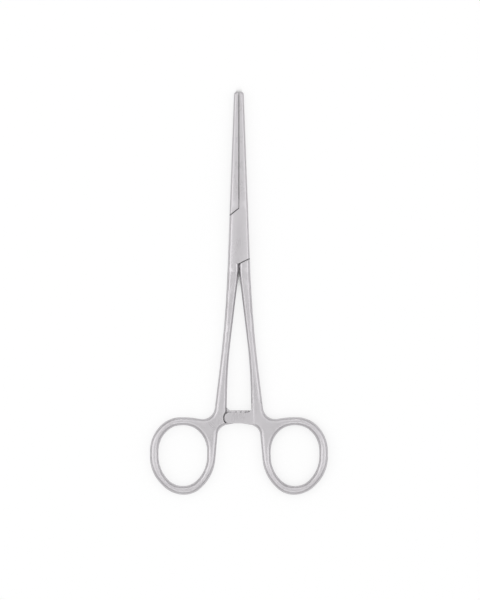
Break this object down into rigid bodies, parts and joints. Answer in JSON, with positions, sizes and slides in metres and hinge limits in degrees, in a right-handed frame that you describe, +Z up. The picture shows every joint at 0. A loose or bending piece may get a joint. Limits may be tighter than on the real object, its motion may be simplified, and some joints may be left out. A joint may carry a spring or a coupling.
{
  "type": "haemostat forceps",
  "caption": "Straight haemostat forceps with a box lock, finger rings and a ratchet between the shanks, for clamping vessels and holding tissue.",
  "frame": {"origin": "on the pivot axis, at the underside of the box on which the closed forceps lie", "axes": "+Y along the forceps towards the tips, +Z up through their thickness, +X across them towards the ring of the tongue half"},
  "size_m": [0.0708, 0.1605, 0.005],
  "materials": {
    "satin_steel": "satin stainless steel",
    "pin_steel": "satin stainless steel, ground flush"
  },
  "bodies": {
    "box_side": {"box_half": "satin_steel", "pivot_pin": "pin_steel"},
    "tongue_side": {"tongue_half": "satin_steel"}
  },
  "joints": [
    {"name": "box_lock", "type": "hinge", "parent": "box_side", "child": "tongue_side", "pos_m": [0, 0, 0.0025], "axis": [0, 0, 1], "range_deg": [0, 40]}
  ]
}
